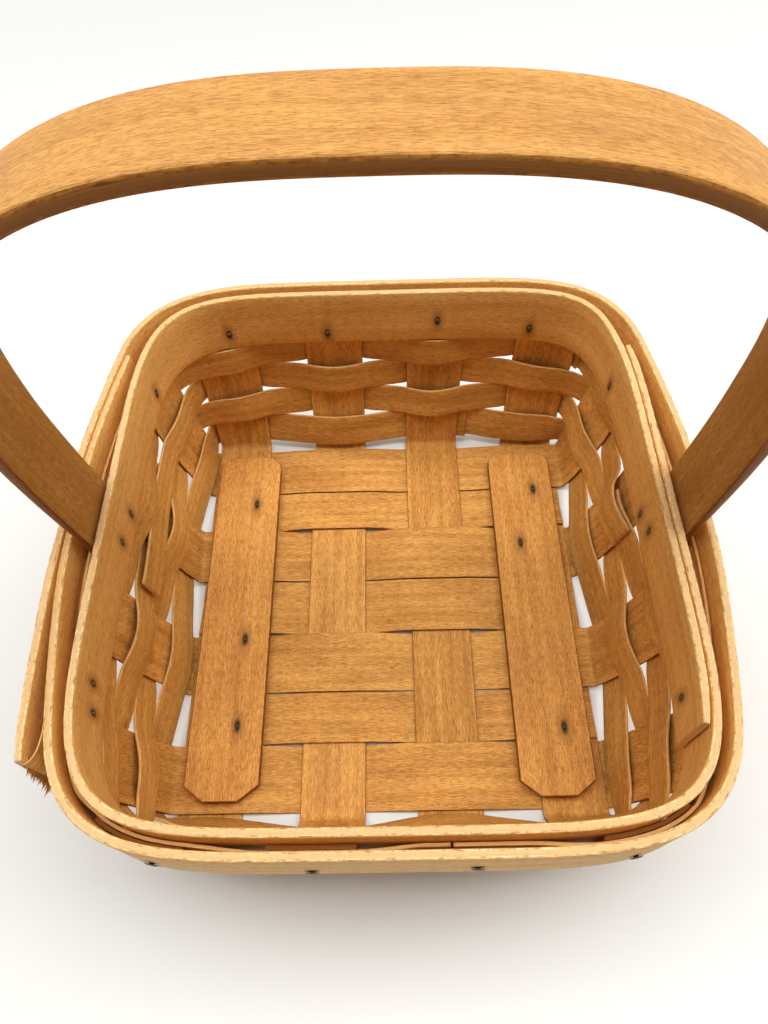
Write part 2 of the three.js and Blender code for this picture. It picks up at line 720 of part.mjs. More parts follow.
const innerBand = bandSolid({
  side: 1,
  direction: -1,
  face: -1,
  lapFrom: innerLapFrom,
  lapTo: innerLapTo,
  loose: false,
  bulged: false,
});
addPiece("rim_band_inner", drilled(innerBand, rimHoles), 0xbf8750, 0.55);
const outerBand = bandSolid({
  side: -1,
  direction: 1,
  face: 1,
  lapFrom: outerLapFrom,
  lapTo: outerLapTo,
  loose: true,
  bulged: true,
});
addPiece("rim_band_outer", drilled(outerBand, rimHoles), 0xbf8750, 0.55);
addPiece("handle", drilled(handleSolid(), rimHoles), 0xc18a55, 0.5);
addPiece("cleat_left", drilled(cleatSolid(-leftCleat), bottomHoles), 0xc08850, 0.55);
addPiece("cleat_right", drilled(cleatSolid(rightCleat), bottomHoles), 0xc08850, 0.55);
[...rimTacks, ...cleatTacks].forEach(({ name, tack }) => {
  addPiece(name, tack, 0x6f6a62, 0.45, 0.9);
});

// The origin lies under the middle of the whole basket
const box = new THREE.Box3().setFromObject(basket);
basket.position.set(-(box.min.x + box.max.x) / 2, -(box.min.y + box.max.y) / 2, -box.min.z);

export default basket;
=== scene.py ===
"""Small square splint basket with a fixed bent-wood handle, seen from above its front.

All lengths are millimetres in the basket's own frame until mesh() turns them into metres and
moves them by SHIFT. Splints, bands and handle are strips round a computed middle surface.
"""

import math

import bpy
import numpy as np
from mathutils import Matrix


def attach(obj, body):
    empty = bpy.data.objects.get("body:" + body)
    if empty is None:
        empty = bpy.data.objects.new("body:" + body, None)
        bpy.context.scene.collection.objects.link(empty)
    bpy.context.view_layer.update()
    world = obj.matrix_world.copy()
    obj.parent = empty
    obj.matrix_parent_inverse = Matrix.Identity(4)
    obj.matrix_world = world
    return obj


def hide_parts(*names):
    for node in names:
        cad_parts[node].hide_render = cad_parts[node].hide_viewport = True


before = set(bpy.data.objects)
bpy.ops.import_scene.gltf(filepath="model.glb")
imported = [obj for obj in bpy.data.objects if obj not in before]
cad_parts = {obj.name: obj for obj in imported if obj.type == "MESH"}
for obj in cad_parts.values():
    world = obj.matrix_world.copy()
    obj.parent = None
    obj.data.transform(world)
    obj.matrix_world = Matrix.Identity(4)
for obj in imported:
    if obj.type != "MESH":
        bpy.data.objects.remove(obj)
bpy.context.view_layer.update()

# Sizes of splints and bottom weave
STAKE_WIDTH = 19.05
THICKNESS = 0.8
CLEARANCE, RIM_CLEARANCE = 0.3, 0.25
INNER_COLUMN, OUTER_COLUMN = 17.2, 53.3
INNER_ROW, OUTER_ROW = 19.3, 54.7
FILLER_GAP = 0.4
FOLD_RADIUS, FOLD_ROOM = 1.2, 1.6
SPLINT_BEVEL = 0.3

# Sizes of walls and weavers
RIM_HEIGHT = 69.0
FLARE_X, FLARE_Y, FLARE_POWER = 9.3, 11.6, 1.8
FLAT_SQUARENESS, CORNER_SHARPNESS, CORNER_RISE = 3.5, 103.5, 1.5
FRONT_LEAN, SIDE_LEAN = 1.3, 0.7
STAKE_TOP_DROP, UPRIGHT_LIFT, EDGE_ROOM = 7.0, 2.0, 0.05
FIRST_LIFT, FIRST_HEIGHT, FIRST_GAP, FIRST_BOW = 0.8, 11.8, 0.6, 0.9
WEAVER_GAP, WEAVER_BOW, WEAVER_SPRING, WEAVER_BEVEL = 0.4, 1.8, 1.4, 0.25
RIM_WEAVER_LIFT, RIM_WEAVER_HEIGHT = 2.5, 10.0

# Sizes of bands
BAND_HEIGHT, BAND_THICKNESS, BAND_BEVEL = 19.05, 2.0, 0.45
LAP_EASE, LAP_START = 24.0, 53.0
INNER_END, LOOSE_END = 59.0, 61.0
LOOSE_RUN, LOOSE_LIFT, LOOSE_TACKED = 58.0, 4.3, 1.0
SKIVE, SKIVE_SHARE = 6.0, 0.75

# Sizes of the torn wood at the outer band's loose end
CURL_WIDTH, CURL_LENGTH, CURL_THICKNESS, CURL_DROP, CURL_POWER = 10.0, 14.0, 0.36, 1.5, 2.2
FIBRE_COUNT, FIBRE_REACH = 170, 16.0

# Sizes of handle, cleats and tacks. The handle's rise is 0.05 less than the solid's, so that
# its finer arch stays in the solid's box.
HANDLE_SPAN, HANDLE_RISE, SPRING_HEIGHT = 155.6, 66.15, 101.9
HANDLE_SQUARENESS, HANDLE_THICKNESS, HANDLE_END_THICKNESS = 2.8, 3.2, 2.2
HANDLE_CROWN, HANDLE_END, HANDLE_END_LIFT, HANDLE_BEVEL = 19.8, 19.0, 2.5, 0.8
HANDLE_LEAN, BULGE_RUN, BULGE_SPREAD = 0.9, 14.0, 44.0
CLEAT_WIDTH, CLEAT_THICKNESS, CLEAT_FRONT, CLEAT_BACK = 22.2, 2.6, 61.5, 58.5
CLEAT_CUT_WIDTH, CLEAT_CUT_LENGTH, CLEAT_ROUND = 6.0, 4.5, 5.5
LEFT_CLEAT, RIGHT_CLEAT = -49.8, 48.6
TACK_RADIUS, TACK_HEAD_RADIUS, TACK_HEAD_HEIGHT, TACK_TIP = 0.6, 1.6, 0.35, 0.4
FOOT_CLEARANCE = 0.1

# What follows from them
HALF = STAKE_WIDTH / 2
STEP = THICKNESS + CLEARANCE
LOWER = THICKNESS / 2
UPPER = LOWER + STEP
WEAVE_LEVEL = (LOWER + UPPER) / 2
BOTTOM_X = OUTER_COLUMN + HALF + THICKNESS / 2 + FOLD_ROOM
BOTTOM_Y = OUTER_ROW + HALF + THICKNESS / 2 + FOLD_ROOM
FOLD_RISE = 1.6 * FOLD_RADIUS
BAND_BOTTOM = RIM_HEIGHT - BAND_HEIGHT
STAKE_TOP = RIM_HEIGHT - STAKE_TOP_DROP
UPRIGHT = BAND_BOTTOM + UPRIGHT_LIFT
EDGE = STEP + EDGE_ROOM
RIM_OFFSET = (THICKNESS + RIM_CLEARANCE) / 2
PACK = RIM_OFFSET + THICKNESS / 2
BAND_FACE = PACK + RIM_CLEARANCE
BAND_LAYER = BAND_THICKNESS + CLEARANCE
RIM_X = BOTTOM_X + FLARE_X
HANDLE_BOTTOM = BAND_BOTTOM + HANDLE_END_LIFT
HANDLE_END_MIDDLE = RIM_X - BAND_FACE + RIM_CLEARANCE + HANDLE_END_THICKNESS / 2
FIRST_BOTTOM = UPPER + FOLD_RISE / 2 + THICKNESS / 2 + FIRST_LIFT
SIDE_BOTTOM = FIRST_BOTTOM + FIRST_HEIGHT + FIRST_GAP
SIDE_HEIGHT = (BAND_BOTTOM - SIDE_BOTTOM - 3 * WEAVER_GAP) / 3
RIM_WEAVER_BOTTOM = BAND_BOTTOM + RIM_WEAVER_LIFT
CLEAT_BOTTOM = UPPER + STEP + THICKNESS / 2 + CLEARANCE
CLEAT_TOP = CLEAT_BOTTOM + CLEAT_THICKNESS

# Moves the middle of the bounding box over the origin
SHIFT = np.array([0.546, 0.804, 0.0])
# One millimetre in metres
MM = 0.001

rng = np.random.default_rng(7)
# Each piece takes its grain from its own place in a field of this many millimetres, and the
# face behind takes it from this much further across the wood
GRAIN_FIELD, GRAIN_BEHIND = 4000, 60
# How far weavers wander up and down, in millimetres, and how much their bows differ
WANDER, BOW_SPREAD = 0.2, 0.25
# Points drawn along a weaver for each step of the ring, and along a band
WEAVER_POINTS, BAND_POINTS = 33, 1100
# Beyond any step of the ring
NEVER = 99


def clip(value):
    return np.clip(value, 0.0, 1.0)


def ease(value):
    """Smooth step: 3t^2 - 2t^3 of the value held between 0 and 1."""
    t = clip(value)
    return t * t * (3 - 2 * t)


def ramp(value, start, end):
    return clip((value - start) / (end - start))


def mix(a, b, t):
    return a + (b - a) * t


def wall(z):
    """Half sizes a, b and exponent n of the wall's plan |x/a|^n + |y/b|^n = 1 at height z."""
    lift = np.maximum(np.minimum(z, UPRIGHT) - WEAVE_LEVEL, 0)
    flare = 1 - (1 - lift / (UPRIGHT - WEAVE_LEVEL)) ** FLARE_POWER
    exponent = FLAT_SQUARENESS + CORNER_SHARPNESS / (lift + CORNER_RISE)
    return BOTTOM_X + FLARE_X * flare, BOTTOM_Y + FLARE_Y * flare, exponent


def lean(z):
    """How far the walls stand to the front, most at the lower edge of the bands."""
    return FRONT_LEAN * np.minimum(z / BAND_BOTTOM, (RIM_HEIGHT - z) / BAND_HEIGHT)


def side_shift(z):
    """How far the walls, and the handle as far as its spring, stand to the right."""
    return SIDE_LEAN * np.minimum(z / BAND_BOTTOM, 1) * (1 - ramp(z, RIM_HEIGHT, SPRING_HEIGHT))


def handle_middle(z):
    """Straight between the bands, then on to half the span with the power 1.5 of the drop."""
    drop = 1 - ramp(z, RIM_HEIGHT, SPRING_HEIGHT)
    clamped = HANDLE_END_MIDDLE + HANDLE_LEAN * ramp(z, HANDLE_BOTTOM, RIM_HEIGHT)
    return mix(HANDLE_SPAN / 2, clamped, drop**1.5)


def handle_half(z):
    """Half the handle's thickness, less where its end is shaved to go between the bands."""
    return mix(HANDLE_END_THICKNESS, HANDLE_THICKNESS, ramp(z, RIM_HEIGHT, SPRING_HEIGHT)) / 2


def handle_bulge(y, z):
    """How far the handle's end pushes the weave outward beside it."""
    outside = handle_middle(z) + handle_half(z) + RIM_CLEARANCE
    push = np.maximum(outside + PACK - wall(z)[0], 0)
    fall = 1 - ease((np.abs(y) - HANDLE_END / 2) / BULGE_SPREAD)
    return push * fall * ease(ramp(z, HANDLE_BOTTOM - BULGE_RUN, HANDLE_BOTTOM))


def off_wall(x, y, z, offset, bulged=True):
    """Points offset along the plan normal, the gradient of |x/a|^n + |y/b|^n."""
    a, b, n = wall(z)
    gx = np.sign(x) * np.abs(x / a) ** (n - 1) / a
    gy = np.sign(y) * np.abs(y / b) ** (n - 1) / b
    size = np.hypot(gx, gy)
    push = offset + (handle_bulge(y, z) * np.abs(gx) / size if bulged else 0)
    moved = x + gx / size * push + side_shift(z), y + gy / size * push - lean(z), z
    return np.stack(np.broadcast_arrays(*moved), -1)


def spot_towards(dx, dy, z):
    """The wall in a direction: (dx, dy) times (|dx/a|^n + |dy/b|^n)^(-1/n)."""
    a, b, n = wall(z)
    scale = (np.abs(dx / a) ** n + np.abs(dy / b) ** n) ** (-1 / n)
    return dx * scale, dy * scale


def spot_above(front_back, place, side, z):
    """The wall straight above a stake's line: the other half size times (1 - |s|^n)^(1/n)."""
    a, b, n = wall(z)
    own, reach = np.where(front_back, a, b), np.where(front_back, b, a)
    droop = side * reach * (1 - np.minimum(np.abs(place / own), 1) ** n) ** (1 / n)
    return np.where(front_back, place, droop), np.where(front_back, droop, place)


# The bottom weave. Columns with sign 1 lie over the back row, and those with sign -1 under it.
COLUMNS = [(-OUTER_COLUMN, 1), (-INNER_COLUMN, -1), (INNER_COLUMN, 1), (OUTER_COLUMN, -1)]
ROWS = [-OUTER_ROW, -INNER_ROW, INNER_ROW, OUTER_ROW]
OUTER_FILLER = (INNER_ROW + OUTER_ROW) / 2
BACK_TURN, MIDDLE_TURN, FRONT_TURN = INNER_ROW + HALF, HALF - INNER_ROW, HALF - OUTER_ROW


def column_height(sign, y):
    """Middle height of a column: it dives under the half of each strip that passes over it."""
    if sign > 0:
        dive = ease(ramp(y, BACK_TURN, INNER_ROW)) * ease(ramp(y, MIDDLE_TURN, 0))
        dive = dive + ease(ramp(y, FRONT_TURN, -OUTER_ROW))
    else:
        dive = ease(ramp(y, MIDDLE_TURN, -INNER_ROW)) * ease(ramp(y, FRONT_TURN, -OUTER_FILLER))
        dive = dive + ease(ramp(y, BACK_TURN, OUTER_FILLER))
    return mix(UPPER, LOWER, dive)


def column_is_over(sign, y):
    """Whether a column lies over the row or filler with its centre at y."""
    return (y > BACK_TURN or MIDDLE_TURN > y > FRONT_TURN) == (sign > 0)


def row_height(centre, x, y):
    """Middle height of a row or filler, eased between its heights at the four columns."""
    heights = [
        LOWER + 0 * y if column_is_over(sign, centre) else column_height(sign, y) + STEP
        for _, sign in COLUMNS
    ]
    z = heights[0] + 0 * x
    for i in range(3):
        start, end = COLUMNS[i][0] + HALF, COLUMNS[i + 1][0] - HALF
        z = mix(z, heights[i + 1], ease(ramp(x, start, end)))
    return z


# The ring of standing stakes, counterclockwise from the right wall's front: whether the stake
# stands in the front or back wall, the wall's side, the direction along it, and the centre. A
# stake takes SHARE of its step of the ring, and the gap to the next one takes the rest.
SHARE = 0.6
WALLS = [(False, 1, 1), (True, 1, -1), (False, -1, -1), (True, -1, 1)]
STANDING = [
    (front_back, side, direction, centre)
    for front_back, side, direction in WALLS
    for centre in ([column[0] for column in COLUMNS] if front_back else ROWS)[::direction]
]
RING_FRONT_BACK = np.array([standing[0] for standing in STANDING])
RING_SIDE = np.array([standing[1] for standing in STANDING], float)
RING_DIRECTION = np.array([standing[2] for standing in STANDING], float)
RING_CENTRE = np.array([standing[3] for standing in STANDING])


def stake_edge(which, across, z):
    """The wall above a stake of the ring, across its width from -1 to 1 along the ring."""
    k = which % len(STANDING)
    place = RING_CENTRE[k] + RING_DIRECTION[k] * across * HALF
    return spot_above(RING_FRONT_BACK[k], place, RING_SIDE[k], z)


def weave(step, z, parity, bow, reach):
    """Spot on the ring and offset of a weaver there. It stands reach off a stake's edges, bows
    off its middle by bow*cos, and crosses the gap on a cubic that keeps slope at both ends."""
    index = np.floor(step).astype(int)
    part = step - index
    out = np.where(index % 2 == 0, -1.0, 1.0) * parity
    across = mix(-1.0, 1.0, clip(part / SHARE))
    on_x, on_y = stake_edge(index, across, z)
    from_x, from_y = stake_edge(index, 1.0, z)
    to_x, to_y = stake_edge(index + 1, -1.0, z)
    gap = clip((part - SHARE) / (1 - SHARE))
    gap_x, gap_y = spot_towards(mix(from_x, to_x, gap), mix(from_y, to_y, gap), z)
    length = np.hypot(to_x - from_x, to_y - from_y)
    slope = bow * np.pi * length / (2 * HALF)
    crossing = reach * (1 - 2 * ease(gap)) - slope * gap * (1 - gap) * (1 - 2 * gap)
    on_stake = part <= SHARE
    offset = out * np.where(on_stake, reach + bow * np.cos(across * np.pi / 2), crossing)
    return np.where(on_stake, on_x, gap_x), np.where(on_stake, on_y, gap_y), offset


def loose_at(y):
    """How far the outer band's loose end stands off: LOOSE_LIFT t^1.5 over its run."""
    return LOOSE_LIFT * ramp(-y, LOOSE_END - LOOSE_RUN, LOOSE_END) ** 1.5


# Rim tacks go through bands, weave and handle ends along the wall's normal. For each wall there
# are its kind and side, the tacks' places along it and their heights over the bands' lower edge.
RIM_TACKS = {
    "back": (True, 1, [-50.5, -18.5, 17, 47], [6, 4, 8, 5]),
    "front": (True, -1, [-51, -17.4, 17.6, 50.6], [6, 5, 7, 6]),
    "left": (False, -1, [-47.7, -41.2, -2.2, 7.8, 49.8], [7, 9, 7, 5, 6]),
    "right": (False, 1, [-46.8, -2.7, 4.3, 48.8], [7, 8, 5, 6]),
}
CLEAT_TACKS = {
    "left": [(-46.5, 38), (-46.5, -12.5), (-46.5, -40)],
    "right": [(52.8, 42), (46, 20.5), (52.3, -42)],
}


def rim_tack(side_name, place, height):
    """Seat, direction and length of a rim tack, driven from outside. It goes through the laps
    of the bands too, but through the loose end only where that stands off less than 1 mm."""
    front_back, side = RIM_TACKS[side_name][:2]
    z = BAND_BOTTOM + height
    x, y = spot_above(front_back, place, side, z)
    base = off_wall(x, y, z, 0, False)
    outward = off_wall(x, y, z, 1, False) - base
    bulge = 0 if front_back else handle_bulge(place, z)
    outer = bulge + BAND_FACE + BAND_THICKNESS + CLEARANCE
    inner = BAND_FACE + BAND_THICKNESS + TACK_TIP
    room = loose_at(place)
    if side_name == "left" and room < LOOSE_TACKED:
        outer += BAND_LAYER + room
    if side_name == "right":
        inner += BAND_LAYER
    return base + outward * outer, -outward, float(outer + inner)


def cleat_tack(x, y):
    """Seat, direction and length of a cleat tack, driven from below."""
    seat = FOOT_CLEARANCE + TACK_HEAD_HEIGHT
    return np.array([x, y, seat]), np.array([0, 0, 1.0]), CLEAT_TOP + TACK_TIP - seat


TACKS = {}
for side_name, (_, _, places, heights) in RIM_TACKS.items():
    for i, (place, height) in enumerate(zip(places, heights)):
        TACKS[f"tack_rim_{side_name}_{i + 1}"] = rim_tack(side_name, place, height)
for side_name, places in CLEAT_TACKS.items():
    for i, (x, y) in enumerate(places):
        TACKS[f"tack_cleat_{side_name}_{i + 1}"] = cleat_tack(x, y)
TIPS = {name: seat + way * length for name, (seat, way, length) in TACKS.items()}
RIM_TIPS = [TIPS[name] for name in TIPS if "rim" in name]
CLEAT_TIPS = [TIPS[name] for name in TIPS if "cleat" in name]


def noise(count, smooth, size):
    """Smooth random values: white noise through a Gaussian window, scaled to the size."""
    window = np.exp(-0.5 * (np.arange(-3 * smooth, 3 * smooth + 1) / smooth) ** 2)
    values = np.convolve(rng.normal(size=count + len(window) - 1), window, "valid")
    return values / max(np.abs(values).max(), 1e-9) * size


def mesh(name, points, faces, materials, uv=None, face_slots=None, flat=(), tone=0.5):
    """A mesh object from millimetre points, with its UV map and tone attribute. Faces listed
    as flat aren't smoothed."""
    data = bpy.data.meshes.new(name)
    data.from_pydata(((points + SHIFT) * MM).tolist(), [], faces)
    for material in materials:
        data.materials.append(material)
    smooth = np.ones(len(faces), bool)
    smooth[list(flat)] = False
    data.polygons.foreach_set("use_smooth", smooth)
    if face_slots is not None:
        data.polygons.foreach_set("material_index", face_slots)
    if uv is not None:
        loops = np.zeros(len(data.loops), np.int32)
        data.loops.foreach_get("vertex_index", loops)
        layer = data.uv_layers.new(name="grain")
        layer.data.foreach_set("uv", np.ascontiguousarray(uv[loops] * MM).ravel())
    attribute = data.attributes.new("tone", "FLOAT", "POINT")
    attribute.data.foreach_set("value", np.full(len(points), tone, np.float32))
    data.update()
    thing = bpy.data.objects.new(name, data)
    bpy.context.scene.collection.objects.link(thing)
    return thing


def across_stops(width, count, bevel):
    """Stops across a strip from -1 to 1 and its thickness there, round at both edges."""
    flat = 1 - 2 * bevel / width
    inner = np.linspace(-flat, flat, count)
    near = 1 - 0.6 * bevel / width
    stops = np.concatenate([[-1, -near], inner, [near, 1]])
    full = np.concatenate([[0.5, 0.87], np.ones(count), [0.87, 0.5]])
    return stops, full


def running(lengths):
    """Distance run at each point from the lengths between them."""
    return np.concatenate([[0], np.cumsum(lengths)])


def strip(name, grid, half, materials, tone, replaces=True):
    """Closed strip round middle points grid[along, across], half its thickness at each. A tone
    is one value, or one for the face along the normal and one for the face behind it."""
    rows, width = grid.shape[:2]
    loop = 2 * width
    normal = np.cross(np.gradient(grid, axis=0), np.gradient(grid, axis=1))
    normal /= np.linalg.norm(normal, axis=-1, keepdims=True)
    half = np.broadcast_to(half, (rows, width))[..., None]
    points = np.concatenate([grid + normal * half, (grid - normal * half)[:, ::-1]], 1)

    # Grain runs along u
    wide = running(np.linalg.norm(np.diff(grid, axis=1), axis=-1).mean(0))
    uv = np.zeros((rows, loop, 2))
    uv[..., 0] = running(np.linalg.norm(np.diff(grid.mean(1), axis=0), axis=-1))[:, None]
    uv[:, :width, 1] = wide
    uv[:, width:, 1] = wide[::-1] + GRAIN_BEHIND
    uv += rng.uniform(0, GRAIN_FIELD, 2)

    base = np.arange(rows - 1)[:, None] * loop
    k = np.arange(loop)[None, :]
    beside = (k + 1) % loop
    quads = np.stack([base + k, base + k + loop, base + beside + loop, base + beside], -1)
    last = (rows - 1) * loop
    i = np.arange(width - 1)
    twin = loop - 1 - i
    start_cap = np.stack([i, i + 1, twin - 1, twin], -1)
    end_cap = last + np.stack([i, twin, twin - 1, i + 1], -1)
    faces = np.concatenate([quads.reshape(-1, 4), start_cap, end_cap]).tolist()

    # The second material is for the long edges and the ends
    edges = [0, width - 2, width - 1, width, loop - 2, loop - 1]
    slots = np.tile(np.isin(np.arange(loop), edges), rows - 1)
    slots = np.concatenate([slots, np.ones(2 * len(i))]).astype(np.int32)
    flat = range(len(faces) - 2 * len(i), len(faces))
    front, behind = tone if isinstance(tone, tuple) else (tone, tone)
    tones = np.where(np.arange(loop) < width, front, behind)
    tones = np.broadcast_to(tones, (rows, loop)).ravel()

    points, uv = points.reshape(-1, 3), uv.reshape(-1, 2)
    thing = mesh(name, points, faces, materials, uv, slots, flat, tones)
    if replaces:
        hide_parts(name)
    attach(thing, "root")


def linear(code):
    """Linear colour of an sRGB hex code: ((c + 0.055) / 1.055)^2.4 above 0.04045, and c / 12.92
    below it."""
    parts = [int(code[i : i + 2], 16) / 255 for i in (0, 2, 4)]
    return [c / 12.92 if c <= 0.04045 else ((c + 0.055) / 1.055) ** 2.4 for c in parts] + [1.0]


def add(tree, kind, inputs=None, **settings):
    """Adds a node. An input that is a socket is linked, and any other is set."""
    node = tree.nodes.new(kind)
    for key, value in settings.items():
        setattr(node, key, value)
    for key, value in (inputs or {}).items():
        if isinstance(value, bpy.types.NodeSocket):
            tree.links.new(value, node.inputs[key])
        else:
            node.inputs[key].default_value = value
    return node


def from_tips(tree, tips, stretch):
    """Distance to the nearest tack tip in metres, with the three directions stretched."""
    place = add(tree, "ShaderNodeTexCoord").outputs["Object"]
    nearest = 1.0
    for tip in tips:
        at = ((tip + SHIFT) * MM).tolist()
        away = add(tree, "ShaderNodeVectorMath", {0: place, 1: at}, operation="SUBTRACT")
        inputs = {0: away.outputs[0], 1: stretch}
        away = add(tree, "ShaderNodeVectorMath", inputs, operation="MULTIPLY")
        away = add(tree, "ShaderNodeVectorMath", {0: away.outputs[0]}, operation="LENGTH")
        inputs = {0: away.outputs["Value"], 1: nearest}
        nearest = add(tree, "ShaderNodeMath", inputs, operation="MINIMUM").outputs[0]
    return nearest


def wood(name, light, dark, fleck, roughness, figure, fleck_depth, tips=(), stretch=(1, 1, 1)):
    """Maple with its grain along the strip's UV map, which is in metres, and dark marks of rust
    in the wood round the tips of tacks."""
    material = bpy.data.materials.new(name)
    material.use_nodes = True
    tree = material.node_tree
    tree.nodes.clear()
    uv = add(tree, "ShaderNodeUVMap", uv_map="grain").outputs[0]
    tone = add(tree, "ShaderNodeAttribute", attribute_name="tone").outputs["Fac"]

    def pattern(length, width, detail=3.0):
        scale = (1 / (length * MM), 1 / (width * MM), 1)
        vector = add(tree, "ShaderNodeVectorMath", {0: uv, 1: scale}, operation="MULTIPLY")
        inputs = {"Vector": vector.outputs[0], "Scale": 1.0, "Detail": detail, "Roughness": 0.55}
        return add(tree, "ShaderNodeTexNoise", inputs, noise_dimensions="2D").outputs[0]

    def between(value, low, high, start=0.0, end=1.0):
        inputs = {0: value, 1: low, 2: high, 3: start, 4: end}
        return add(tree, "ShaderNodeMapRange", inputs).outputs[0]

    def combine(operation, *values):
        inputs = dict(enumerate(values))
        return add(tree, "ShaderNodeMath", inputs, operation=operation).outputs[0]

    def blend(cover, under, over, mode="MIX"):
        inputs = {0: cover, 6: under, 7: over}
        return add(tree, "ShaderNodeMix", inputs, data_type="RGBA", blend_type=mode).outputs[2]

    # Growth rings run as streaks of about 60 by 2 mm, and the broad figure is 25 by 9 mm
    streaks = between(pattern(60, 2.0, 4.0), 0.3, 0.7)
    broad = between(pattern(25, 9.0), 0.3, 0.7)
    shade = combine("MULTIPLY_ADD", streaks, figure, 0.5 - figure / 2)
    level = combine("MULTIPLY_ADD", broad, figure * 0.8, shade)
    # Bundles of fibres are about 3 by 0.2 mm
    fibres = between(pattern(3.0, 0.2), 0.35, 0.65, -0.34, 0.34)
    level = combine("ADD", level, fibres)
    # Tone lifts or lowers the colour: each piece's own tone, and painted shade on the handle's
    # inner face and the outer band's covered start
    lift = combine("ADD", level, combine("SUBTRACT", tone, 0.5 + figure * 0.4))
    colour = blend(lift, linear(dark), linear(light))
    # Ray flecks are dashes of about 1 by 0.3 mm, and pores are finer and longer
    flecks = between(pattern(1.0, 0.3), 0.55, 0.7)
    pores = between(pattern(2.6, 0.18), 0.52, 0.7)
    marks = combine("MAXIMUM", combine("MULTIPLY", flecks, 0.75), pores)
    colour = blend(combine("MULTIPLY", marks, fleck_depth), colour, linear(fleck), "MULTIPLY")
    if len(tips):
        # Black within 0.6 mm of a tip, then brown that fades out at 3 mm
        away = from_tips(tree, tips, stretch)
        halo = combine("MULTIPLY", between(away, 3 * MM, 0.5 * MM), 0.6)
        core = between(away, 1.3 * MM, 0.6 * MM)
        colour = blend(halo, colour, linear("6E3F1C"))
        colour = blend(core, colour, linear("2A1A10"))
    # The grain stands out slightly, and the marks lie in it
    height = combine("SUBTRACT", pattern(9.0, 0.22), combine("MULTIPLY", marks, 0.5))
    relief = {"Height": height, "Strength": 0.35, "Distance": 0.15 * MM}
    surface = {
        "Base Color": colour,
        "Roughness": between(broad, 0, 1, roughness - 0.05, roughness + 0.08),
        "Normal": add(tree, "ShaderNodeBump", relief).outputs[0],
        "Specular IOR Level": 0.2,
    }
    shader = add(tree, "ShaderNodeBsdfPrincipled", surface).outputs[0]
    add(tree, "ShaderNodeOutputMaterial", {"Surface": shader})
    return material


def plain(name, colour, roughness, metallic=0.0):
    """An even material."""
    material = bpy.data.materials.new(name)
    material.use_nodes = True
    shader = material.node_tree.nodes["Principled BSDF"]
    shader.inputs["Base Color"].default_value = linear(colour)
    shader.inputs["Roughness"].default_value = roughness
    shader.inputs["Metallic"].default_value = metallic
    return material


# Thin maple splints, honey-brown from age and oil
SPLINT = wood("maple splint", "F4B760", "C08236", "6F441A", 0.55, 0.55, 0.55)
# Weavers, a little yellower than the stakes
WEAVER = wood("maple weaver", "EFB762", "BC8237", "6F441A", 0.55, 0.5, 0.5)
# Cut edges of the weavers, paler where the blade opened the wood
SPLINT_EDGE = wood("maple splint edge", "FCD08C", "DEA65E", "8A5E30", 0.6, 0.5, 0.4)
# Edges of the stakes, fillers and cleats, painted dark as the shade that falls on them
SHADED_EDGE = wood("splint edge with painted shade", "A66C2C", "784819", "4A2A10", 0.6, 0.5, 0.5)
# Thicker bent maple of the handle, planed smooth
BOARD = wood("maple board", "E0A65A", "B67B35", "7A4E22", 0.5, 0.45, 0.5)
# The bands' maple, with rust round the tacks, drawn out across the grain
BAND_WOOD = wood("maple band", "FAC670", "DCA052", "8A5A28", 0.5, 0.45, 0.5, RIM_TIPS, (1, 1, 0.5))
# The cleats' coarser maple, with rust round the tacks, drawn out along the grain
CLEAT_WOOD = wood(
    "maple cleat", "F6B75F", "CB883E", "6E4319", 0.6, 0.5, 0.62, CLEAT_TIPS, (1, 0.45, 1)
)
# Sawn edges of the bands, cream with darker flecks
BOARD_EDGE = wood("maple board edge", "FFDDA4", "E6B26C", "8E5E2C", 0.6, 0.5, 0.7)
# The handle's side faces, darker sawn wood with painted shade on top of it
SHADED_HANDLE_EDGE = wood("handle edge with painted shade", "B6762C", "8C5218", "54330F", 0.5, 0.5, 0.5)
# Small wire tacks, dull with age
STEEL = plain("tack steel", "5B5048", 0.42, 0.8)


def stake(name, front_back, which, centre, sign, tone):
    """One stake: rise up one wall, across the weave, and up the other wall. Each fold is the
    quadratic Bezier from the bottom's end over the foot of the wall to the wall itself. Between
    the bands the stake gives way to the rim weaver."""
    stops, full = across_stops(STAKE_WIDTH, 9, SPLINT_BEVEL)
    places = (centre + stops * HALF)[None, :]
    half = (BOTTOM_Y if front_back else BOTTOM_X) - FOLD_RADIUS
    axis = 1 if front_back else 0

    def floor_height(run, place):
        if front_back:
            return column_height(sign, run) + 0 * place
        return row_height(centre, run, place)

    def wing(side):
        foot = floor_height(side * half + 0 * places, places)
        t = np.linspace(0, 1, 12)[:, None]
        knee = spot_above(front_back, places, side, foot)[axis]
        top = spot_above(front_back, places, side, foot + FOLD_RISE)[axis]
        reach = mix(mix(side * half, knee, t), mix(knee, top, t), t)
        z = foot + FOLD_RISE * t**2
        place = places + 0 * t
        x, y = (place, reach) if front_back else (reach, place)
        fold = np.stack([x, y, z], -1)
        z = mix(foot + FOLD_RISE, STAKE_TOP, np.linspace(0, 1, 70)[1:, None])
        x, y = spot_above(front_back, place[:1] + 0 * z, side, z)
        outward = 1 if (which + (front_back == (side > 0))) % 2 == 0 else -1
        give_way = outward * RIM_OFFSET * ease(ramp(z, BAND_BOTTOM, RIM_WEAVER_BOTTOM))
        return np.concatenate([fold, off_wall(x, y, z, give_way)])

    run = np.linspace(-half, half, 180)[1:-1, None] + 0 * places
    place = places + 0 * run
    z = floor_height(run, place)
    middle = np.stack([place, run, z] if front_back else [run, place, z], -1)
    grid = np.concatenate([wing(-1)[::-1], middle, wing(1)])
    if front_back:
        grid = grid[:, ::-1]
    strip(name, grid, THICKNESS / 2 * full, [SPLINT, SHADED_EDGE], tone)


